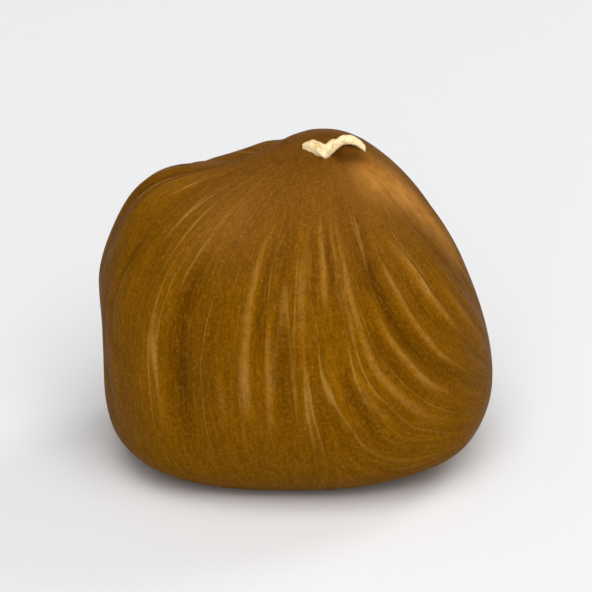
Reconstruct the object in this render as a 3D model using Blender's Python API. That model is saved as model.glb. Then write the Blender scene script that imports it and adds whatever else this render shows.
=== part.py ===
"""A shelled hazelnut kernel in its dry brown skin, standing on the flat spot of its broad end.

The kernel grew as one piece, so it is one solid. Its body is a closed surface round an upright axis:
every side has a profile of two Bezier arcs, from the flat spot out to the belly and from the belly up
to the tip, and the profiles of the four sides blend into each other round the axis. On that body lie
a few broad swells and hollows, the ridges along the veins, which run from the tip straight down the
left side and in a fan across the right one, and at the tip a dry scrap of the stalk that held the
seed inside its shell.

Sizes are in millimetres here, and the meshes are written in metres.
"""

from itertools import product

import bpy
import numpy as np

MM = 0.001

# The kernel's height, and the tip, which leans off the axis, most of it in the top third.
HEIGHT = 13.0
FLAT_RADIUS = 3.0
TIP_OFFSET = (1.45, -0.7)
LEAN_POWER = 2.7
TIP_RISE = 0.55
TIP_WIDTH = 2.9
# How much the low part bulges out between its four sides, as a share of its radius.
CORNER = 0.06

# Each tuple gives the right (+X), back (+Y), left (-X) and front (-Y) side.
REACH = (7.7, 6.65, 7.45, 6.6)
BELLY_HEIGHT = (3.0, 4.8, 6.7, 5.6)
# Lengths of the Bezier handles, as shares of the arc's own height or width.
RISE = (0.39, 0.59, 0.48, 0.55)
CAP = (0.45, 0.70, 0.60, 0.59)
SINK = (0.52, 0.60, 0.90, 0.71)
FOOT = (0.71, 0.60, 0.62, 0.55)

# Broad swells and hollows: centre, height along the surface's normal, and width.
LUMPS = (
    ((-5.1, 0.0, 10.6), 0.70, 2.1),
    ((-1.9, 2.0, 12.1), -0.90, 1.8),
    ((-7.3, 0.0, 4.6), -0.40, 2.4),
    ((-4.6, -3.2, 1.0), 0.35, 1.9),
    ((5.6, -3.0, 1.2), 0.25, 1.9),
    ((-3.6, -5.0, 5.0), -0.18, 1.5),
    ((-5.6, -3.2, 5.5), 0.12, 1.5),
    ((5.5, -2.8, 8.0), 0.12, 2.0),
    ((2.0, 6.0, 6.0), 0.20, 3.0),
    ((-3.5, 5.5, 4.5), -0.15, 2.2),
    ((2.0, -1.45, 12.65), -0.30, 0.55),
)

# The veins' course is that on a ball: its centre and axes in the kernel.
BALL_CENTRE = (0.0, 0.0, 6.3)
BALL_AXES = (7.5, 6.7, 6.6)
# Azimuth and elevation of the two spots that the veins run to, and where from left to right one takes over.
RIGHT_END_DEG = (15, -24)
LOWER_END_DEG = (-90, -75)
TAKES_OVER = (-9.0, 12.0)
# A step from the tip at which both courses are made equal.
CLOSE_STEP = (0.2, 0, 0)

# Noise stretched along the veins: cells from the axis outwards, cells from tip to base, and height.
SEED = 11
LATTICE = 64
FLUTES = (3.4, 1.6, 0.13)
RIBS = (9.0, 2.4, 0.10)
# The ribs are low on one side: its angle and half width in degrees, and how much of them it takes away.
CALM_DEG = (152, 28)
CALM = 0.75

# Single ridges: angle and half width in degrees, height, and start and end along the vein.
RIDGES = (
    (180, 2.4, -0.07, 0.60, 0.84),
    (173, 2.4, 0.07, 0.55, 0.80),
    (162, 4.0, 0.10, 0.55, 0.95),
    (150, 3.5, -0.10, 0.55, 0.94),
    (132, 2.6, 0.09, 0.40, 0.80),
    (125, 2.4, 0.07, 0.60, 0.86),
    (97, 2.0, 0.09, 0.54, 0.78),
    (92, 2.2, -0.06, 0.40, 0.68),
    (87, 2.2, 0.12, 0.42, 0.74),
    (76, 2.4, 0.10, 0.44, 0.64),
    (66, 3.0, 0.12, 0.52, 0.74),
)
RIDGE_FADE = (0.08, 0.06)
# Where the relief starts, as distance from the tip, and where it ends, as shares of the way down.
STARTED = (0.12, 0.45)
RIBS_END = (0.60, 0.92)
FLUTES_END = (0.86, 0.99)
# It fades round the right spot where veins meet, between these distances on the ball.
END_SPOT = (0.25, 0.85)

# The scrap's centre line: offsets from the pole along X and Y, lift above the skin, and half width along Y.
SCRAP_PATH = (
    (-0.88, -0.55, 0.00, 0.10),
    (-0.55, -0.72, 0.10, 0.30),
    (-0.10, -1.02, 0.10, 0.38),
    (0.22, -0.62, 0.16, 0.36),
    (0.62, -0.24, 0.24, 0.24),
    (1.08, -0.05, 0.20, 0.23),
    (1.46, 0.04, 0.08, 0.13),
)
SCRAP_HALF_HEIGHT = 0.24
SCRAP_RINGS, SCRAP_SIDES = 14, 8

COLUMNS = 168
LOW_ROWS = 10
UP_ROWS = 21

SKIN_COLOUR = (0.215, 0.082, 0.006, 1.0)
SKIN_ROUGHNESS = 0.5
SCRAP_COLOUR = (0.86, 0.70, 0.42, 1.0)
SCRAP_ROUGHNESS = 0.8


def clear_scene():
    """Removes what the startup scene holds."""
    for obj in list(bpy.data.objects):
        bpy.data.objects.remove(obj, do_unlink=True)


def matte(name, colour, roughness):
    """A plain material without metal."""
    material = bpy.data.materials.new(name)
    material.use_nodes = True
    shader = material.node_tree.nodes["Principled BSDF"]
    shader.inputs["Base Color"].default_value = colour
    shader.inputs["Roughness"].default_value = roughness
    shader.inputs["Metallic"].default_value = 0.0
    material.diffuse_color = colour
    return material


def around(sides, azimuth):
    """Passes through the values of the four sides and varies smoothly between them."""
    right, back, left, front = sides
    mean = (right + back + left + front) / 4
    across = (right - left) / 2 * np.cos(azimuth)
    along = (back - front) / 2 * np.sin(azimuth)
    oval = (right + left - back - front) / 4 * np.cos(2 * azimuth)
    return mean + across + along + oval


def bezier(start, start_handle, end_handle, end, t):
    """A cubic Bezier arc, for t from 0 to 1."""
    s = 1 - t
    return s**3 * start + 3 * s**2 * t * start_handle + 3 * s * t**2 * end_handle + t**3 * end


def smooth_step(low, high, value):
    """Goes smoothly from 0 at low to 1 at high."""
    t = np.clip((value - low) / (high - low), 0, 1)
    return t * t * (3 - 2 * t)


def body(azimuth, low_rows, up_rows):
    """Points of the smooth body: a row for each ring, from the flat spot to the pole."""
    reach, belly = around(REACH, azimuth), around(BELLY_HEIGHT, azimuth)
    rise, cap = around(RISE, azimuth), around(CAP, azimuth)
    sink, foot = around(SINK, azimuth), around(FOOT, azimuth)
    dome = HEIGHT - TIP_RISE

    t = np.linspace(0, 1, low_rows, endpoint=False)[:, None]
    foot_radius = FLAT_RADIUS + foot * (reach - FLAT_RADIUS)
    low_radius = bezier(FLAT_RADIUS, foot_radius, reach, reach, t)
    low_height = bezier(0, 0, belly * (1 - sink), belly, t)

    t = np.linspace(0, 1, up_rows)[:, None]
    up_radius = bezier(reach, reach, cap * reach, 0, t)
    up_height = bezier(belly, belly + rise * (dome - belly), dome, dome, t)
    up_height = up_height + TIP_RISE * np.exp(-((up_radius / TIP_WIDTH) ** 2))

    radius = np.concatenate([low_radius, up_radius])
    height = np.concatenate([low_height, up_height])
    share = height / HEIGHT
    radius = radius * (1 + CORNER * (1 - np.cos(4 * azimuth)) / 2 * (1 - share) ** 2)
    lean = share**LEAN_POWER
    x = radius * np.cos(azimuth) + TIP_OFFSET[0] * lean
    y = radius * np.sin(azimuth) + TIP_OFFSET[1] * lean
    return np.stack([x, y, height], axis=-1)


def normals(grid):
    """Outward unit normals, from the differences between neighbours on the grid."""
    east = np.roll(grid, -1, axis=1) - np.roll(grid, 1, axis=1)
    north = np.gradient(grid, axis=0)
    normal = np.cross(east, north)
    normal[-1] = (0, 0, 1)
    return normal / np.linalg.norm(normal, axis=-1, keepdims=True)


def noise(table, points):
    """Smooth noise from -1 to 1: random values on a lattice, blended between each cell's corners."""
    cell = np.floor(points).astype(int)
    part = points - cell
    part = part * part * (3 - 2 * part)
    total = np.zeros(points.shape[:-1])
    for corner in product((0, 1), repeat=3):
        weight = np.prod(np.where(corner, part, 1 - part), axis=-1)
        i, j, k = np.moveaxis((cell + corner) % LATTICE, -1, 0)
        total += weight * table[i, j, k]
    return total


def streaks(table, angle, along, radius, cells, height):
    """Noise stretched along the veins: it changes fast across them and slowly from tip to base."""
    points = np.stack([radius * np.cos(angle), radius * np.sin(angle), cells * along], axis=-1)
    return height * noise(table, points + LATTICE / 2)


def directions(points):
    """Unit vectors from the kernel's middle, after the body has been squeezed into a ball."""
    away = (points - np.array(BALL_CENTRE)) / BALL_AXES
    return away / np.linalg.norm(away, axis=-1, keepdims=True)


def vein_end(degrees):
    """The direction of an end with this azimuth and elevation."""
    a, e = np.radians(degrees)
    return np.array([np.cos(a) * np.cos(e), np.sin(a) * np.cos(e), np.sin(e)])


def angle_towards(end, points, tip):
    """The vein of each point: seen from an end, a ball maps onto a plane and each vein onto a ray."""
    first = np.cross(end, (0, 1, 0))
    first /= np.linalg.norm(first)
    plane = np.stack([first, np.cross(end, first)], axis=-1)
    spot, start = directions(points), directions(tip)
    ray = spot @ plane / (1 - spot @ end)[..., None] - start @ plane / (1 - start @ end)
    return np.arctan2(ray[..., 1], ray[..., 0])


def vein_angle(points, tip):
    """The angles towards both ends, made equal close to the tip and blended from left to right."""
    right_end, lower_end = vein_end(RIGHT_END_DEG), vein_end(LOWER_END_DEG)
    close = tip + CLOSE_STEP
    turn = angle_towards(right_end, close, tip) - angle_towards(lower_end, close, tip)
    right = angle_towards(right_end, points, tip)
    lower = angle_towards(lower_end, points, tip) + turn
    share = smooth_step(*TAKES_OVER, points[..., 0])
    return np.arctan2((1 - share) * np.sin(lower) + share * np.sin(right),
                      (1 - share) * np.cos(lower) + share * np.cos(right))


def apart(angle, centre_deg):
    """Degrees between an angle and a place round the tip, on either side."""
    return np.abs((np.degrees(angle) - centre_deg + 180) % 360 - 180)


def single_ridges(angle, along):
    """Bell curves across the angle, each between its own start and end."""
    total = np.zeros(angle.shape)
    before, after = RIDGE_FADE
    for centre, width, rise, start, end in RIDGES:
        begun = smooth_step(start - before, start + after, along)
        left = 1 - smooth_step(end - after, end + before, along)
        total += rise * begun * left * np.exp(-((apart(angle, centre) / width) ** 2))
    return total


def relief(grid):
    """Height above the smooth body: the lumps, and the flutes, ribs and single ridges along the veins."""
    table = np.random.default_rng(SEED).uniform(-1, 1, (LATTICE,) * 3)
    tip = grid[-1, 0]
    down = 1 - grid[..., 2] / HEIGHT
    along = np.linalg.norm(grid - tip, axis=-1) / HEIGHT
    angle = vein_angle(grid, tip)
    lumps = np.zeros(grid.shape[:2])
    for centre, rise, width in LUMPS:
        lumps += rise * np.exp(-((np.linalg.norm(grid - centre, axis=-1) / width) ** 2))
    end_distance = np.linalg.norm(directions(grid) - vein_end(RIGHT_END_DEG), axis=-1)
    shown = smooth_step(*STARTED, along) * smooth_step(*END_SPOT, end_distance)
    strength = 1 - CALM * np.exp(-((apart(angle, CALM_DEG[0]) / CALM_DEG[1]) ** 2))
    fine = strength * streaks(table, angle, along, *RIBS) + single_ridges(angle, along)
    fine *= 1 - smooth_step(*RIBS_END, down)
    flutes = streaks(table, angle, along, *FLUTES)
    return (1 - smooth_step(*FLUTES_END, down)) * (lumps + shown * (flutes + fine))


def kernel_grid():
    """The body with its relief, moved so that its box is centred on the origin."""
    azimuth = np.linspace(0, 2 * np.pi, COLUMNS, endpoint=False)[None, :]
    grid = body(azimuth, LOW_ROWS, UP_ROWS)
    grid = grid + normals(grid) * relief(grid)[..., None]
    grid[0, :, 2] = 0
    middle = (grid.min(axis=(0, 1)) + grid.max(axis=(0, 1))) / 2
    return grid - (middle[0], middle[1], 0)


def solid(name, points, faces, material):
    """An object with this mesh and material, shaded smooth."""
    mesh = bpy.data.meshes.new(name)
    mesh.from_pydata((points * MM).tolist(), [], faces)
    mesh.materials.append(material)
    mesh.shade_smooth()
    obj = bpy.data.objects.new(name, mesh)
    bpy.context.collection.objects.link(obj)
    return obj


def band(rings, columns):
    """Quads between rings of points, each ring counter-clockwise as seen from the far end."""
    here = np.arange(rings * columns).reshape(rings, columns)
    after = np.roll(here, -1, axis=1)
    return np.stack([here[:-1], after[:-1], after[1:], here[1:]], axis=-1).reshape(-1, 4).tolist()


def kernel(grid, material):
    """The kernel: quads between the rings, the flat spot below and a fan round the pole."""
    rings, columns = grid.shape[0] - 1, grid.shape[1]
    pole = rings * columns
    last_ring = range(pole - columns, pole)
    fan = [[i, pole - columns + (i + 1) % columns, pole] for i in last_ring]
    flat_spot = list(range(columns))[::-1]
    points = np.concatenate([grid[:-1].reshape(-1, 3), grid[-1, :1]])
    return solid("kernel", points, [*band(rings, columns), *fan, flat_spot], material)


def scrap(nut, pole, material):
    """The dry scrap: a tube of upright oval rings along its centre line, sunk in the skin before the pole."""
    path = np.array(SCRAP_PATH)
    place = np.linspace(0, len(path) - 1, SCRAP_RINGS)
    x, y, lift, half_width = (np.interp(place, range(len(path)), values) for values in path.T)
    x, y = x + pole[0], y + pole[1]
    skin = [nut.ray_cast((a * MM, b * MM, 2 * HEIGHT * MM), (0, 0, -1))[1].z / MM for a, b in zip(x, y)]
    turn = np.linspace(0, 2 * np.pi, SCRAP_SIDES, endpoint=False)[None, :]
    side = half_width[:, None] * np.cos(turn)
    up = SCRAP_HALF_HEIGHT * np.sqrt(half_width / half_width.max())[:, None] * np.sin(turn)
    points = np.stack([x[:, None] + 0 * turn, y[:, None] + side, (skin + lift)[:, None] + up], axis=-1)
    points = points.reshape(-1, 3)
    first = list(range(SCRAP_SIDES))
    last = [i + len(points) - SCRAP_SIDES for i in first]
    return solid("scrap", points, [*band(SCRAP_RINGS, SCRAP_SIDES), first[::-1], last], material)


def fuse(obj, other):
    """Joins the second solid to the first and removes it."""
    union = obj.modifiers.new("union", "BOOLEAN")
    union.operation = "UNION"
    union.solver = "EXACT"
    union.material_mode = "TRANSFER"
    union.object = other
    bpy.context.view_layer.objects.active = obj
    bpy.ops.object.modifier_apply(modifier=union.name)
    bpy.data.objects.remove(other, do_unlink=True)


def main():
    """Builds the kernel and fuses the scrap to its tip."""
    clear_scene()
    grid = kernel_grid()
    nut = kernel(grid, matte("kernel skin", SKIN_COLOUR, SKIN_ROUGHNESS))
    fuse(nut, scrap(nut, grid[-1, 0], matte("dry scrap", SCRAP_COLOUR, SCRAP_ROUGHNESS)))


main()
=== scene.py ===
# %% [markdown]
# # A shelled hazelnut kernel
#
# The kernel stands on the flat spot of its broad end, with its tip up. It wears its skin: a dry brown
# seed coat, thinner than paper, that follows the kernel's ribs and shows fine fibres running down from
# the tip. A cream scrap of the stalk that fed the seed inside its shell still hangs on at the tip.
#
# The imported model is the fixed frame. It gives the kernel's place and size, and its one body.

# %% Load the frame
from itertools import product

import bpy
import numpy as np
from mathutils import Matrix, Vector


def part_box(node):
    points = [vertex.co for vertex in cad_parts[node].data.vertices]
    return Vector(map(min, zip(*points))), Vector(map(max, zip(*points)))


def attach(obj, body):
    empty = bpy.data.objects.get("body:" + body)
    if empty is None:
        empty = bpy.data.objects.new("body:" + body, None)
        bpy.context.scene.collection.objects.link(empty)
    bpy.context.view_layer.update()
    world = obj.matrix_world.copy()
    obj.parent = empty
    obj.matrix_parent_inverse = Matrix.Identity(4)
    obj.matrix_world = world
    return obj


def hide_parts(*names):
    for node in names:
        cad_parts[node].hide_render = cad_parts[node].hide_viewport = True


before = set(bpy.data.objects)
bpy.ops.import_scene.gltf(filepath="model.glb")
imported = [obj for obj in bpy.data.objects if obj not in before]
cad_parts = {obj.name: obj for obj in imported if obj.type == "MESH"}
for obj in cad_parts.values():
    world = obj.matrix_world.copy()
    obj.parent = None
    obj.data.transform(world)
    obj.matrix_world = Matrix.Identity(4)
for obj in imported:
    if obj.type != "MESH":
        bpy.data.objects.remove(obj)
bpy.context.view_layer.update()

# %% [markdown]
# ## Small helpers
#
# Colours are easiest to read as the hex values of a paint chart, but the renderer mixes light in
# linear values, so one function turns the first into the second. Materials are graphs of nodes, and
# one function adds a node with its settings and links.

# %% Colours and nodes
MM = 0.001


def linear(hex_colour):
    """An sRGB hex colour as linear values: c / 12.92 for dark channels c, or ((c + 0.055) / 1.055)^2.4."""
    channels = np.array([int(hex_colour[i:i + 2], 16) / 255 for i in (1, 3, 5)])
    curve = np.where(channels <= 0.04045, channels / 12.92, ((channels + 0.055) / 1.055) ** 2.4)
    return (*curve.tolist(), 1.0)


def add(material, kind, settings=None, **inputs):
    """A new node. Settings are its own properties, and an input gets a value or a link from a socket.

    An input goes by its name, with _ for each space, or by _ and its number.
    """
    node = material.node_tree.nodes.new(kind)
    for name, value in (settings or {}).items():
        setattr(node, name, value)
    for name, value in inputs.items():
        socket = node.inputs[int(name[1:])] if name[1:].isdigit() else node.inputs[name.replace("_", " ")]
        if isinstance(value, bpy.types.NodeSocket):
            material.node_tree.links.new(value, socket)
        else:
            socket.default_value = value
    return node


def new_material(name):
    """An empty material with nodes and its output."""
    material = bpy.data.materials.new(name)
    material.use_nodes = True
    material.node_tree.nodes.clear()
    return material


def finish_material(material, shader):
    """Links the shader to the material's output."""
    output = material.node_tree.nodes.new("ShaderNodeOutputMaterial")
    material.node_tree.links.new(shader.outputs[0], output.inputs["Surface"])
    return material


print("a skin brown in linear values:", [round(value, 3) for value in linear("#784b00")])

# %% [markdown]
# ## The body's form
#
# A kernel fills its shell, so it is round where the shell let it be and flat where it met the base.
# It could be sculpted from a sphere, or turned from one profile. This one leans and bulges to one
# side, so every side gets a profile of its own: two Bezier arcs, from the flat spot out to the belly
# and from the belly up to the tip. The four profiles blend into each other round the axis. These
# are the same values as the solid's, in millimetres.

# %% Sizes of the body
HEIGHT = 13.0
FLAT_RADIUS = 3.0
# How far the tip stands off the axis along X and Y, and the power of the height that rings drift by.
TIP_OFFSET = (1.45, -0.7)
LEAN_POWER = 2.7
# Height and width of the bell curve at the tip.
TIP_RISE = 0.55
TIP_WIDTH = 2.9
# Rings at the foot are wider by this share between the four sides.
CORNER = 0.06

# Each tuple gives the right (+X), back (+Y), left (-X) and front (-Y) side: the belly's radius and
# height, the handles of the upper arc at the belly and at the tip, and those of the lower arc at the
# belly and at the flat spot. Handles are shares of their arc's height or width.
REACH = (7.7, 6.65, 7.45, 6.6)
BELLY_HEIGHT = (3.0, 4.8, 6.7, 5.6)
RISE = (0.39, 0.59, 0.48, 0.55)
CAP = (0.45, 0.70, 0.60, 0.59)
SINK = (0.52, 0.60, 0.90, 0.71)
FOOT = (0.71, 0.60, 0.62, 0.55)

# Broad swells and hollows: centre, height along the surface's normal, and width.
LUMPS = (
    ((-5.1, 0.0, 10.6), 0.70, 2.1),
    ((-1.9, 2.0, 12.1), -0.90, 1.8),
    ((-7.3, 0.0, 4.6), -0.40, 2.4),
    ((-4.6, -3.2, 1.0), 0.35, 1.9),
    ((5.6, -3.0, 1.2), 0.25, 1.9),
    ((-3.6, -5.0, 5.0), -0.18, 1.5),
    ((-5.6, -3.2, 5.5), 0.12, 1.5),
    ((5.5, -2.8, 8.0), 0.12, 2.0),
    ((2.0, 6.0, 6.0), 0.20, 3.0),
    ((-3.5, 5.5, 4.5), -0.15, 2.2),
    ((2.0, -1.45, 12.65), -0.30, 0.55),
)

# %% The body as a surface of two parameters
def around(sides, azimuth):
    """Mean of the four sides, plus their differences times cos, sin and cos of twice the azimuth."""
    right, back, left, front = sides
    mean = (right + back + left + front) / 4
    across = (right - left) / 2 * np.cos(azimuth)
    along = (back - front) / 2 * np.sin(azimuth)
    oval = (right + left - back - front) / 4 * np.cos(2 * azimuth)
    return mean + across + along + oval


def bezier(start, start_handle, end_handle, end, t):
    """A cubic Bezier arc: (1-t)^3 start + 3(1-t)^2 t handle + 3(1-t) t^2 handle + t^3 end."""
    s = 1 - t
    return s**3 * start + 3 * s**2 * t * start_handle + 3 * s * t**2 * end_handle + t**3 * end


def smooth_step(low, high, value):
    """0 below low, 1 above high, and 3t^2 - 2t^3 between them."""
    t = np.clip((value - low) / (high - low), 0, 1)
    return t * t * (3 - 2 * t)


def body(azimuth, low_rows, up_rows):
    """Radius and height follow the arcs, a bell curve raises the tip, and the rings drift with height."""
    reach, belly = around(REACH, azimuth), around(BELLY_HEIGHT, azimuth)
    rise, cap = around(RISE, azimuth), around(CAP, azimuth)
    sink, foot = around(SINK, azimuth), around(FOOT, azimuth)
    dome = HEIGHT - TIP_RISE

    t = np.linspace(0, 1, low_rows, endpoint=False)[:, None]
    foot_radius = FLAT_RADIUS + foot * (reach - FLAT_RADIUS)
    low_radius = bezier(FLAT_RADIUS, foot_radius, reach, reach, t)
    low_height = bezier(0, 0, belly * (1 - sink), belly, t)

    t = np.linspace(0, 1, up_rows)[:, None]
    up_radius = bezier(reach, reach, cap * reach, 0, t)
    up_height = bezier(belly, belly + rise * (dome - belly), dome, dome, t)
    up_height = up_height + TIP_RISE * np.exp(-((up_radius / TIP_WIDTH) ** 2))

    radius = np.concatenate([low_radius, up_radius])
    height = np.concatenate([low_height, up_height])
    share = height / HEIGHT
    radius = radius * (1 + CORNER * (1 - np.cos(4 * azimuth)) / 2 * (1 - share) ** 2)
    lean = share**LEAN_POWER
    x = radius * np.cos(azimuth) + TIP_OFFSET[0] * lean
    y = radius * np.sin(azimuth) + TIP_OFFSET[1] * lean
    return np.stack([x, y, height], axis=-1)


def normals(grid):
    """The cross product of the steps to the neighbours round the axis and up the side, made unit long."""
    east = np.roll(grid, -1, axis=1) - np.roll(grid, 1, axis=1)
    north = np.gradient(grid, axis=0)
    normal = np.cross(east, north)
    normal[-1] = (0, 0, 1)
    return normal / np.linalg.norm(normal, axis=-1, keepdims=True)


COLUMNS = 440
LOW_ROWS, UP_ROWS = 74, 144
azimuth = np.linspace(0, 2 * np.pi, COLUMNS, endpoint=False)[None, :]
smooth_body = body(azimuth, LOW_ROWS, UP_ROWS)
print("smooth body in mm:", np.ptp(smooth_body.reshape(-1, 3), axis=0).round(2))

# %% [markdown]
# ## Ribs and fibres
#
# Veins run through the skin from the tip, straight down the left side and in a fan across the right
# one, and the dried skin wrinkles along them. They could be painted by hand, or come from a plain
# noise. Here numpy gives each point the angle of the vein that it lies on, with a slight wander, and
# everything lengthwise reads that angle: broad flutes, ribs and fibres from a noise stretched along
# the veins, and the single ridges that the photograph shows on the front. The solid has the flutes,
# the ribs and the wider ridges, from the same seed, and the narrow ridges come on top here.

# %% Noise on a lattice
SEED = 11
LATTICE = 64
table = np.random.default_rng(SEED).uniform(-1, 1, (LATTICE,) * 3)


def noise(points):
    """Random values at the corners of each lattice cell, blended with 3t^2 - 2t^3 along every edge."""
    cell = np.floor(points).astype(int)
    part = points - cell
    part = part * part * (3 - 2 * part)
    total = np.zeros(points.shape[:-1])
    for corner in product((0, 1), repeat=3):
        weight = np.prod(np.where(corner, part, 1 - part), axis=-1)
        i, j, k = np.moveaxis((cell + corner) % LATTICE, -1, 0)
        total += weight * table[i, j, k]
    return total


def streaks(angle, along, radius, cells):
    """Noise at (radius cos angle, radius sin angle, cells times the way along the vein)."""
    points = np.stack([radius * np.cos(angle), radius * np.sin(angle), cells * along], axis=-1)
    return noise(points + LATTICE / 2)


# %% The course of the veins
BALL_CENTRE = (0.0, 0.0, 6.3)
BALL_AXES = (7.5, 6.7, 6.6)
# Azimuth and elevation of the two spots that the veins run to, and the values of x between which the
# right one takes over.
RIGHT_END_DEG = (15, -24)
LOWER_END_DEG = (-90, -75)
TAKES_OVER = (-9.0, 12.0)
# A step from the tip at which both courses are made equal.
CLOSE_STEP = (0.2, 0, 0)


def directions(points):
    """Unit vectors from the kernel's middle, after the body has been squeezed into a ball."""
    away = (points - np.array(BALL_CENTRE)) / BALL_AXES
    return away / np.linalg.norm(away, axis=-1, keepdims=True)


def vein_end(degrees):
    """The direction of an end: (cos a cos e, sin a cos e, sin e)."""
    a, e = np.radians(degrees)
    return np.array([np.cos(a) * np.cos(e), np.sin(a) * np.cos(e), np.sin(e)])


def angle_towards(end, points, tip):
    """Seen from an end, a ball maps onto a plane by (d.a, d.b) / (1 - d.end), and each vein onto a ray."""
    first = np.cross(end, (0, 1, 0))
    first /= np.linalg.norm(first)
    plane = np.stack([first, np.cross(end, first)], axis=-1)
    spot, start = directions(points), directions(tip)
    ray = spot @ plane / (1 - spot @ end)[..., None] - start @ plane / (1 - start @ end)
    return np.arctan2(ray[..., 1], ray[..., 0])


def vein_angle(points, tip):
    """The angles towards both ends, made equal close to the tip, and their unit vectors blended by x."""
    right_end, lower_end = vein_end(RIGHT_END_DEG), vein_end(LOWER_END_DEG)
    close = tip + CLOSE_STEP
    turn = angle_towards(right_end, close, tip) - angle_towards(lower_end, close, tip)
    right = angle_towards(right_end, points, tip)
    lower = angle_towards(lower_end, points, tip) + turn
    share = smooth_step(*TAKES_OVER, points[..., 0])
    return np.arctan2((1 - share) * np.sin(lower) + share * np.sin(right),
                      (1 - share) * np.cos(lower) + share * np.cos(right))


# %% The relief
# Each layer: cells from the axis outwards, cells from tip to base, and height in mm.
FLUTES = (3.4, 1.6, 0.13)
RIBS = (9.0, 2.4, 0.10)
# Ribs are weaker by up to this share round this angle, with this half width, both in degrees.
CALM_DEG = (152, 28)
CALM = 0.75

# Single ridges: angle and half width in degrees, height in mm, and start and end along the vein.
RIDGES = (
    (180, 2.0, -0.08, 0.60, 0.84),
    (173, 2.0, 0.04, 0.55, 0.80),
    (161, 4.5, 0.05, 0.50, 0.95),
    (156, 2.0, 0.07, 0.86, 1.02),
    (150, 3.5, -0.11, 0.55, 0.94),
    (137, 1.5, 0.07, 0.74, 0.93),
    (131, 1.4, 0.11, 0.40, 0.82),
    (128, 1.3, -0.07, 0.42, 0.66),
    (125, 1.3, 0.10, 0.60, 0.86),
    (122, 1.5, -0.08, 0.60, 0.84),
    (117, 1.2, 0.07, 0.48, 0.92),
    (113, 1.2, -0.07, 0.36, 0.52),
    (111, 1.0, 0.07, 0.66, 0.88),
    (110, 1.2, 0.11, 0.28, 0.52),
    (109, 0.9, -0.07, 0.68, 0.90),
    (107, 0.9, 0.07, 0.66, 0.86),
    (107, 1.1, -0.06, 0.36, 0.50),
    (103, 0.9, 0.10, 0.40, 0.90),
    (100, 1.2, -0.07, 0.58, 0.76),
    (97, 1.1, 0.14, 0.54, 0.78),
    (93, 1.3, -0.09, 0.40, 0.68),
    (88, 1.4, 0.17, 0.42, 0.74),
    (81, 1.4, -0.09, 0.44, 0.62),
    (76, 1.5, 0.15, 0.44, 0.64),
    (66, 2.5, 0.10, 0.52, 0.74),
)
# A ridge fades over this much outside its ends and this much inside them.
RIDGE_FADE = (0.08, 0.06)
# The relief comes in between these distances from the tip, as shares of the height, and between these
# distances from the right end of the veins. Ribs and flutes end between these shares of the way down.
STARTED = (0.12, 0.45)
END_SPOT = (0.25, 0.85)
RIBS_END = (0.60, 0.92)
FLUTES_END = (0.86, 0.99)
# The veins wander by up to this angle in radians, over this many mm.
WANDER = 0.012
WANDER_CELL = 1.5

down = 1 - smooth_body[..., 2] / HEIGHT
pole = smooth_body[-1, 0]
along = np.linalg.norm(smooth_body - pole, axis=-1) / HEIGHT
angle = vein_angle(smooth_body, pole) + WANDER * noise(smooth_body / WANDER_CELL + LATTICE / 2)


def apart(angle, centre_deg):
    """Degrees between an angle and a place round the axis, from 0 to 180 on either side."""
    return np.abs((np.degrees(angle) - centre_deg + 180) % 360 - 180)


def bells(spots):
    """The sum of e^(-(d / width)^2) times each spot's size, where d is the distance from its centre."""
    return sum(size * np.exp(-((np.linalg.norm(smooth_body - centre, axis=-1) / width) ** 2))
               for centre, size, width in spots)


def single_ridges(angle, along):
    """Bell curves across the angle, each between its own start and end."""
    before, after = RIDGE_FADE
    return sum(rise * np.exp(-((apart(angle, centre) / width) ** 2))
               * smooth_step(start - before, start + after, along)
               * (1 - smooth_step(end - after, end + before, along))
               for centre, width, rise, start, end in RIDGES)


flutes = streaks(angle, along, *FLUTES[:2])
ribs = streaks(angle, along, *RIBS[:2])
lumps = bells(LUMPS)

started = smooth_step(*STARTED, along)
strength = 1 - CALM * np.exp(-((apart(angle, CALM_DEG[0]) / CALM_DEG[1]) ** 2))
faded = 1 - smooth_step(*RIBS_END, down)
spread = smooth_step(*END_SPOT, np.linalg.norm(directions(smooth_body) - vein_end(RIGHT_END_DEG), axis=-1))
shown = started * spread * faded
fine = shown * (strength * RIBS[2] * ribs + single_ridges(angle, along))
height = (1 - smooth_step(*FLUTES_END, down)) * (lumps + started * spread * FLUTES[2] * flutes + fine)
print("relief in mm, lowest and highest:", height.min().round(2), height.max().round(2))
skin_grid = smooth_body + normals(smooth_body) * height[..., None]
skin_grid[0, :, 2] = 0

# %% [markdown]
# ## From the grid to a mesh
#
# The grid's last row is the pole, where all columns meet, so it becomes one point with a fan of
# triangles. The first row is the rim of the flat spot, and one face closes it. The solid's box says
# where the kernel stands. The mesh also stores what the material needs: how high a point lies on its
# rib, how near the tip or the foot it is, which spots it lies in, and the streaks' own coordinates,
# so that the fibres follow the ribs.

# %% Put the grid into a mesh
cad_low, cad_high = (np.array(corner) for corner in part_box("kernel"))
middle = (skin_grid.min(axis=(0, 1)) + skin_grid.max(axis=(0, 1))) / 2 * MM
shift = np.array([*(cad_low + cad_high)[:2] / 2, cad_low[2]]) - (middle[0], middle[1], 0)


def ring_faces(rings, columns):
    """The last ring's points, and the quads between neighbouring rings, with a cap on the first ring."""
    here = np.arange(rings * columns).reshape(rings, columns)
    after = np.roll(here, -1, axis=1)
    quads = np.stack([here[:-1], after[:-1], after[1:], here[1:]], axis=-1).reshape(-1, 4)
    return here[-1], [*quads.tolist(), here[0][::-1].tolist()]


def fan_faces(ring):
    """Triangles from each pair of neighbours on the last ring to the pole, the point that follows them."""
    return np.stack([ring, np.roll(ring, -1), np.full(len(ring), ring[-1] + 1)], axis=-1).tolist()


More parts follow.
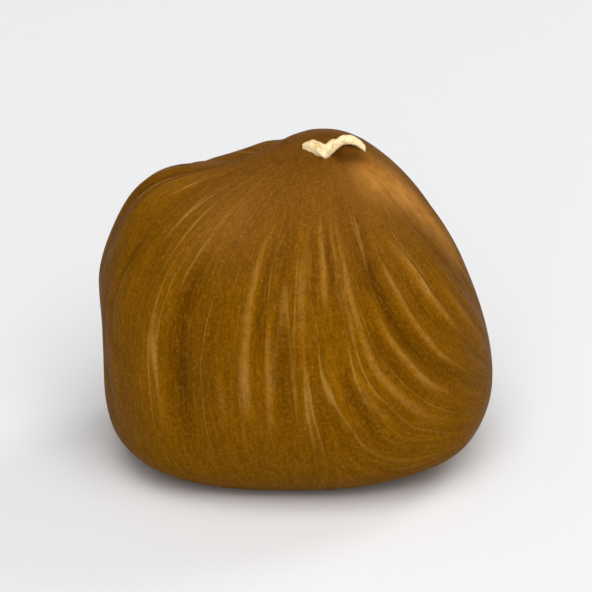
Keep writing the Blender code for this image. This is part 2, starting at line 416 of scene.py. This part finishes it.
def new_piece(name, points, faces, material):
    """A smooth mesh at the origin, with its place in its points."""
    mesh = bpy.data.meshes.new(name)
    mesh.from_pydata(points, [], faces)
    mesh.materials.append(material)
    mesh.shade_smooth()
    piece = bpy.data.objects.new(name, mesh)
    bpy.context.scene.collection.objects.link(piece)
    return piece


def without_pole_copies(values):
    """A grid's values as a list of points, with the pole's row cut to one."""
    values = np.broadcast_to(values, (*skin_grid.shape[:2], *values.shape[2:]))
    return np.concatenate([values[:-1].reshape(-1, *values.shape[2:]), values[-1, :1]])


def store(mesh, name, values):
    """Stores one number or one vector for each point of the mesh."""
    kind, key = ("FLOAT", "value") if values.ndim == 1 else ("FLOAT_VECTOR", "vector")
    mesh.attributes.new(name, kind, "POINT").data.foreach_set(key, values.astype(np.float32).ravel())


skin_points = without_pole_copies(skin_grid) * MM + shift
top_ring, skin_faces = ring_faces(skin_grid.shape[0] - 1, COLUMNS)
print("skin:", len(skin_points), "points, in", skin_grid.shape[0] - 1, "rings and a pole")

# %% [markdown]
# ## The skin's finish
#
# A hazelnut's skin is a thin, dry seed coat, rich in tannin. It is satin, not glossy: light slides
# off the ribs in soft streaks and takes on the brown, because the skin's own fibres scatter it before
# it leaves. It is warmer and redder near the tip and more olive down the sides. It is darker in the
# grooves and paler along the crests, partly its own colour and partly painted shade and painted
# highlight; painted shade darkens it towards the foot, and a painted highlight runs down the right
# shoulder beside the tip. An image could hold that, but nodes follow the ribs exactly and need no
# file. So the colour is a stack of layers in a table, and each layer's share reads what the mesh
# stores or a noise of a real size: patches of 3 mm, mottling of 0.8 mm, pits of 0.12 mm, and fibres,
# hairs and threads along the veins.

# %% Values that the skin's material reads
# Numbers that the mesh stores for each of its points.
STORED = ("rib", "band", "shown", "tip", "low", "stain_and_shade", "highlight_and_pale_patch", "hollow_shade")
# Each noise: its name, the coordinates that it reads, its scale on them, its detail and roughness.
NOISES = (
    ("patches", "place", 1 / (3.0 * MM), 3.0, 0.55),
    ("mottle", "place", 1 / (0.8 * MM), 4.0, 0.60),
    ("pits", "place", 1 / (0.12 * MM), 3.0, 0.60),
    ("fibre", "streak", 1.6, 4.0, 0.60),
    ("hair", "streak", 4.0, 3.0, 0.65),
    ("winding", "thread", 1.0, 1.0, 0.50),
)
# Threads are this much coarser than the fibres, across and along. Each runs where the winding noise is
# within the width of its middle value.
THREAD_SCALE = (0.32, 0.32, 0.10)
THREAD_MIDDLE = 0.5
THREAD_WIDTH = 0.022


def skin_values(skin):
    """The stored values and the noises. A thread is 1 - |winding - middle| / width, times shown."""
    values = {name: add(skin, "ShaderNodeAttribute", {"attribute_name": name}).outputs["Fac"]
              for name in STORED}
    streak = add(skin, "ShaderNodeAttribute", {"attribute_name": "streak"}).outputs["Vector"]
    coordinates = {
        "place": add(skin, "ShaderNodeTexCoord").outputs["Object"],
        "streak": streak,
        "thread": add(skin, "ShaderNodeVectorMath", {"operation": "MULTIPLY"}, _0=streak,
                      _1=THREAD_SCALE).outputs[0],
    }
    for name, kind, scale, detail, roughness in NOISES:
        values[name] = add(skin, "ShaderNodeTexNoise", Vector=coordinates[kind], Scale=scale,
                           Detail=detail, Roughness=roughness).outputs["Fac"]
    off = add(skin, "ShaderNodeMath", {"operation": "SUBTRACT"}, _0=values["winding"], _1=THREAD_MIDDLE)
    off = add(skin, "ShaderNodeMath", {"operation": "ABSOLUTE"}, _0=off.outputs[0])
    near = add(skin, "ShaderNodeMapRange", Value=off.outputs[0], From_Min=THREAD_WIDTH, From_Max=0.0)
    values["thread"] = add(skin, "ShaderNodeMath", {"operation": "MULTIPLY"}, _0=near.outputs[0],
                           _1=values["shown"]).outputs[0]
    return values


# %% Layers of the skin's colour
# A tint is one colour, or a value, its low and high end, and the colours there.
GROUND = ("patches", 0.35, 0.65, "#6c4100", "#784b00")
# Each layer: its greatest share, the terms that the share is multiplied by, and its tint. A term is a
# value, where on it the layer is weakest and strongest, and the weakest part of its share.
LAYERS = (
    # Dark bands between the flutes, painted shade darkening the foot, the redder surroundings of the tip, and
    # dark stains, with painted shade low on the right among them.
    (0.60, (("band", 0.4, -0.6, 0.0),), "#5a3500"),
    (1.00, (("low", 0.0, 1.0, 0.0),), "#603e00"),
    (1.00, (("tip", 0.0, 1.0, 0.0),), "#7c4a20"),
    (1.00, (("stain_and_shade", 0.0, 1.0, 0.0),), "#4c2a08"),
    # Darker grooves and lighter ribs, partly the skin's own colour and partly painted shade and highlight,
    # and paler tops on the highest ribs, a painted highlight broken up by the mottling.
    (0.50, (), ("rib", -1.2, 1.4, "#442300", "#a46c06")),
    (0.80, (("rib", 0.5, 1.7, 0.0), ("mottle", 0.38, 0.62, 0.25)), "#b48440"),
    # Light and dark fibres and hairs, and pale threads.
    (0.35, (("fibre", 0.56, 0.74, 0.0),), "#9c6a06"),
    (0.28, (("fibre", 0.46, 0.26, 0.0),), "#492800"),
    (0.30, (("hair", 0.52, 0.74, 0.0),), "#a47008"),
    (0.30, (("hair", 0.46, 0.28, 0.0),), "#492800"),
    (0.60, (("thread", 0.0, 1.0, 0.0), ("patches", 0.40, 0.60, 1 / 6)), "#b68a3c"),
    # Dark mottling, and dark and light flecks.
    (0.30, (("mottle", 0.52, 0.75, 0.0),), "#553100"),
    (0.40, (("pits", 0.50, 0.72, 0.0),), "#4a2a04"),
    (0.30, (("pits", 0.46, 0.28, 0.0),), "#a4742c"),
    # A painted highlight down the right shoulder beside the tip, with one paler patch of skin on the upper
    # front, and painted shade in the hollow under the scrap.
    (1.00, (("highlight_and_pale_patch", 0.0, 1.0, 0.0),), ("mottle", 0.35, 0.60, "#a86c26", "#c88c40")),
    (1.00, (("hollow_shade", 0.0, 1.0, 0.0),), "#482304"),
)


def layer_share(material, values, share, terms):
    """The share times every term, which goes evenly from its weakest part to 1."""
    for name, weak, strong, least in terms:
        term = add(material, "ShaderNodeMapRange", Value=values[name], From_Min=weak, From_Max=strong,
                   To_Min=least).outputs[0]
        share = add(material, "ShaderNodeMath", {"operation": "MULTIPLY"}, _0=share, _1=term).outputs[0]
    return share


def layer_tint(material, values, tint):
    """The one colour, or (1 - t) times the first and t times the second, with t from 0 to 1."""
    if isinstance(tint, str):
        return linear(tint)
    name, low, high, first, second = tint
    t = layer_share(material, values, 1.0, ((name, low, high, 0.0),))
    return add(material, "ShaderNodeMix", {"data_type": "RGBA"}, _0=t, _6=linear(first),
               _7=linear(second)).outputs[2]


def skin_colour(skin, values):
    """Each layer over the ones below it: (1 - share) times the colour so far, and share times its tint."""
    colour = layer_tint(skin, values, GROUND)
    for share, terms, tint in LAYERS:
        colour = add(skin, "ShaderNodeMix", {"data_type": "RGBA"}, _6=colour,
                     _0=layer_share(skin, values, share, terms),
                     _7=layer_tint(skin, values, tint)).outputs[2]
    return colour


# %% Skin material
# Bumps: the value that they follow, their strength, and their depth in mm.
BUMPS = (("fibre", 0.5, 0.08), ("hair", 0.5, 0.03), ("thread", 0.5, 0.05), ("pits", 0.5, 0.03))
SKIN_ROUGHNESS = (0.42, 0.58)


def skin_bumps(skin, values):
    """The normal after all bumps, each on top of the one before."""
    before = {}
    for name, strength, depth in BUMPS:
        bump = add(skin, "ShaderNodeBump", Height=values[name], Strength=strength, Distance=depth * MM,
                   **before)
        before = {"Normal": bump.outputs[0]}
    return bump.outputs[0]


def skin_material():
    """Dry seed coat: satin, with its colour in layers, and fibres, threads and pits in the bump."""
    skin = new_material("dry seed coat")
    values = skin_values(skin)
    smooth, rough = SKIN_ROUGHNESS
    roughness = add(skin, "ShaderNodeMapRange", Value=values["mottle"], From_Min=0.3, From_Max=0.7,
                    To_Min=smooth, To_Max=rough).outputs[0]
    # A low index and level keep the rim from turning white, as the fibres under the surface scatter
    # the light, and what is reflected is tinted by them.
    shader = add(skin, "ShaderNodeBsdfPrincipled", Base_Color=skin_colour(skin, values), Metallic=0.0,
                 IOR=1.25, Roughness=roughness, Normal=skin_bumps(skin, values),
                 Specular_IOR_Level=0.05, Specular_Tint=linear("#ffc878"))
    return finish_material(skin, shader)


print("skin:", len(NOISES), "noises and", len(LAYERS), "layers of colour")

# %% The kernel's skin
# The fibres' noise: cells from the axis outwards, and from tip to base.
FIBRES = (31.0, 6.0)
# Where a highlight is painted down the right shoulder, with one paler patch on the upper front, where the
# skin is stained dark, with painted shade low on the right, and where shade is painted in the hollow under
# the scrap: centre, share of that colour, and width.
HIGHLIGHT_AND_PALE_PATCH = (
    ((3.3, -1.8, 11.9), 0.95, 1.0),
    ((4.5, -1.0, 10.9), 0.90, 1.0),
    ((5.3, -0.8, 9.7), 0.60, 0.8),
    ((6.0, -0.4, 8.6), 0.45, 0.8),
    ((-2.0, -3.6, 10.7), 0.18, 1.6),
)
# Dark stains on the skin. The third, low on the right, is painted shade.
STAINS_AND_SHADE = (
    ((0.9, -2.2, 12.7), 0.45, 1.1),
    ((0.5, -5.7, 9.9), 0.40, 1.5),
    ((4.3, -5.9, 4.8), 0.40, 1.9),
    ((-2.8, -6.0, 5.4), 0.30, 1.8),
)
# Shade painted into the hollow under the scrap's arch: centre, share of that colour, and width.
HOLLOW_SHADE = (((2.0, -1.45, 12.65), 0.85, 0.5), ((2.75, -1.25, 12.75), 0.7, 0.4))
# The tip's colour fades out between these distances from it in mm, and painted shade darkens the skin
# towards the foot between these shares of the way down.
TIP_FADES = (1.5, 8.5)
FOOT_SHADE_STARTS = (0.55, 0.9)

kernel_skin = new_piece("kernel_skin", skin_points, skin_faces + fan_faces(top_ring), skin_material())
streak_axis = np.stack([FIBRES[0] * np.cos(angle), FIBRES[0] * np.sin(angle), FIBRES[1] * along], axis=-1)
for name, values in {
    "rib": fine / RIBS[2],
    "band": flutes,
    "shown": shown,
    "tip": 1 - smooth_step(*TIP_FADES, along * HEIGHT),
    "low": smooth_step(*FOOT_SHADE_STARTS, down),
    "hollow_shade": bells(HOLLOW_SHADE),
    "highlight_and_pale_patch": bells(HIGHLIGHT_AND_PALE_PATCH),
    "stain_and_shade": bells(STAINS_AND_SHADE),
    "streak": streak_axis,
}.items():
    store(kernel_skin.data, name, without_pole_copies(values))
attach(kernel_skin, "root")
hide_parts("kernel")
print("skin:", len(kernel_skin.data.polygons), "faces")

# %% [markdown]
# ## The scrap at the tip
#
# The seed hung in its shell by a short stalk, and a dry, papery scrap of it is left. It could be cut
# from a thin sheet. Here it is a tube of upright oval rings, which stand across a smooth line in front
# of the tip: wide where it lies on the skin, narrow where it arches over the small hollow, and with a
# torn edge from the same noise as the ribs.

# %% Scrap material
def scrap_material():
    """Dry plant tissue: cream, matt, with darker specks from a fine grain."""
    dry = new_material("dried stalk scrap")
    place = add(dry, "ShaderNodeTexCoord").outputs["Object"]
    # The grain is a quarter of a millimetre.
    grain = add(dry, "ShaderNodeTexNoise", Vector=place, Scale=1 / (0.25 * MM), Detail=3.0).outputs["Fac"]
    cream = layer_tint(dry, {"grain": grain}, ("grain", 0.3, 0.55, "#d9b273", "#fbe6b4"))
    bump = add(dry, "ShaderNodeBump", Height=grain, Strength=0.4, Distance=0.05 * MM)
    shader = add(dry, "ShaderNodeBsdfPrincipled", Base_Color=cream, Roughness=0.7, Metallic=0.0,
                 Normal=bump.outputs[0], Specular_IOR_Level=0.3)
    return finish_material(dry, shader)


# %% The scrap's form
# Offsets from the pole along X and Y, lift above the skin, and half width along Y, as in the solid.
SCRAP_PATH = (
    (-0.88, -0.55, 0.00, 0.10),
    (-0.55, -0.72, 0.10, 0.30),
    (-0.10, -1.02, 0.10, 0.38),
    (0.22, -0.62, 0.16, 0.36),
    (0.62, -0.24, 0.24, 0.24),
    (1.08, -0.05, 0.20, 0.23),
    (1.46, 0.04, 0.08, 0.13),
)
SCRAP_HALF_HEIGHT = 0.24
SCRAP_RINGS, SCRAP_SIDES = 60, 36
# The tear's depth, as a share of a ring's radius, and the size of its noise cells in mm.
SCRAP_TEAR = 0.25
SCRAP_TEAR_CELL = 0.22
# The skin's height is read where it is above this share of the kernel's, from this many near points,
# and this much in mm is added to their distances, so that none is zero.
TOP_SHARE = 0.7
NEAR_POINTS = 6
NEAR_OFFSET = 0.02


def smooth_path(points, count):
    """A Catmull-Rom curve: each stretch is the cubic through two points with slopes from their neighbours."""
    points = np.array(points)
    place = np.linspace(0, len(points) - 1, count)
    i = np.minimum(place.astype(int), len(points) - 2)
    t = (place - i)[:, None]
    ends = np.concatenate([[2 * points[0] - points[1]], points, [2 * points[-1] - points[-2]]])
    before, start, end, after = (ends[i + step] for step in range(4))
    return 0.5 * (2 * start + (end - before) * t + (2 * before - 5 * start + 4 * end - after) * t**2
                  + (3 * (start - end) + after - before) * t**3)


def skin_height(x, y):
    """Mean height of the skin's nearest points, each weighed by one over its distance."""
    top = skin_points[skin_points[:, 2] > TOP_SHARE * HEIGHT * MM] / MM
    distance = np.hypot(top[:, 0] - x[:, None], top[:, 1] - y[:, None])
    nearest = np.argsort(distance, axis=1)[:, :NEAR_POINTS]
    weight = 1 / (np.take_along_axis(distance, nearest, axis=1) + NEAR_OFFSET)
    return (top[nearest, 2] * weight).sum(axis=1) / weight.sum(axis=1)


def scrap_points():
    """Upright oval rings along the path; lattice noise pushes their points in and out to tear the edge."""
    x, y, lift, half_width = smooth_path(SCRAP_PATH, SCRAP_RINGS).T
    tip = skin_points[-1] / MM
    x, y = x + tip[0], y + tip[1]
    turn = np.linspace(0, 2 * np.pi, SCRAP_SIDES, endpoint=False)[None, :]
    side = half_width[:, None] * np.cos(turn)
    up = SCRAP_HALF_HEIGHT * np.sqrt(half_width / half_width.max())[:, None] * np.sin(turn)
    height = skin_height(x, y) + lift
    rings = np.stack([x[:, None] + 0 * turn, y[:, None] + side, height[:, None] + up], axis=-1)
    middle = rings.mean(axis=1, keepdims=True)
    tear = 1 + SCRAP_TEAR * noise(rings / SCRAP_TEAR_CELL + LATTICE / 2)
    return middle + (rings - middle) * tear[..., None]


scrap_rings = scrap_points()
end_ring, scrap_faces = ring_faces(SCRAP_RINGS, SCRAP_SIDES)
scrap = new_piece("stalk_scrap", scrap_rings.reshape(-1, 3) * MM, [*scrap_faces, end_ring.tolist()],
                  scrap_material())
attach(scrap, "root")
print("scrap in mm:", np.ptp(scrap_rings.reshape(-1, 3), axis=0).round(2))

# %% [markdown]
# ## Floor, light and camera
#
# The kernel stands on plain white card between pale surroundings. A broad soft light hangs above and
# before it, a second one stands low in front, and a weak one behind it on the right catches the
# shoulder. The camera looks down on it at 24 degrees through a long lens, from 29 cm.

# %% Floor and surroundings
FLOOR_SIDE = 2.0
WORLD_STRENGTH = 0.23


def card_material():
    """Matt white card."""
    card = new_material("white card")
    shader = add(card, "ShaderNodeBsdfPrincipled", Base_Color=linear("#f4f4f5"), Roughness=0.9,
                 Metallic=0.0, Specular_IOR_Level=0.1)
    return finish_material(card, shader)


half = FLOOR_SIDE / 2
floor = new_piece("floor", [(-half, -half, 0), (half, -half, 0), (half, half, 0), (-half, half, 0)],
                  [(0, 1, 2, 3)], card_material())

world = bpy.data.worlds.new("pale surroundings")
world.use_nodes = True
background = world.node_tree.nodes["Background"]
background.inputs["Color"].default_value = linear("#ffffff")
background.inputs["Strength"].default_value = WORLD_STRENGTH
bpy.context.scene.world = world

# %% Lights
# Each light: name, azimuth and elevation in degrees, distance and size in metres, and energy in watts.
LIGHTS = (
    ("key light", 8, 62, 0.50, 0.45, 1.85),
    ("front light", 2, 26, 0.50, 0.44, 1.10),
    ("back light", 130, 38, 0.40, 0.14, 0.30),
)


def soft_light(name, azimuth_deg, elevation_deg, distance, size, energy):
    """A white square area light on a sphere round the kernel's middle, turned to face it."""
    a, e = np.radians([azimuth_deg, elevation_deg])
    data = bpy.data.lights.new(name, "AREA")
    data.shape = "SQUARE"
    data.size = size
    data.energy = energy
    light = bpy.data.objects.new(name, data)
    away = Vector((np.sin(a) * np.cos(e), -np.cos(a) * np.cos(e), np.sin(e)))
    light.location = Vector((0, 0, HEIGHT / 2 * MM)) + away * distance
    light.rotation_euler = away.to_track_quat("Z", "Y").to_euler()
    bpy.context.scene.collection.objects.link(light)


for settings in LIGHTS:
    soft_light(*settings)
print("lights:", ", ".join(settings[0] for settings in LIGHTS))

# %% Camera
# Degrees above the floor, then metres: distance, width of the frame at the kernel, and height of the aim.
CAMERA_ELEVATION = 24
CAMERA_DISTANCE = 0.290
FRAME_WIDTH = 0.0222
AIM_HEIGHT = 0.0063
camera_data = bpy.data.cameras.new("camera")
camera_data.lens = camera_data.sensor_width * CAMERA_DISTANCE / FRAME_WIDTH
camera_data.clip_start = 0.01
camera = bpy.data.objects.new("camera", camera_data)
tilt = np.radians(CAMERA_ELEVATION)
camera.location = (0, -CAMERA_DISTANCE * np.cos(tilt), AIM_HEIGHT + CAMERA_DISTANCE * np.sin(tilt))
camera.rotation_euler = (np.pi / 2 - tilt, 0, 0)
bpy.context.scene.collection.objects.link(camera)
bpy.context.scene.camera = camera
bpy.context.scene.view_settings.view_transform = "Standard"
print("lens in mm:", round(camera_data.lens))
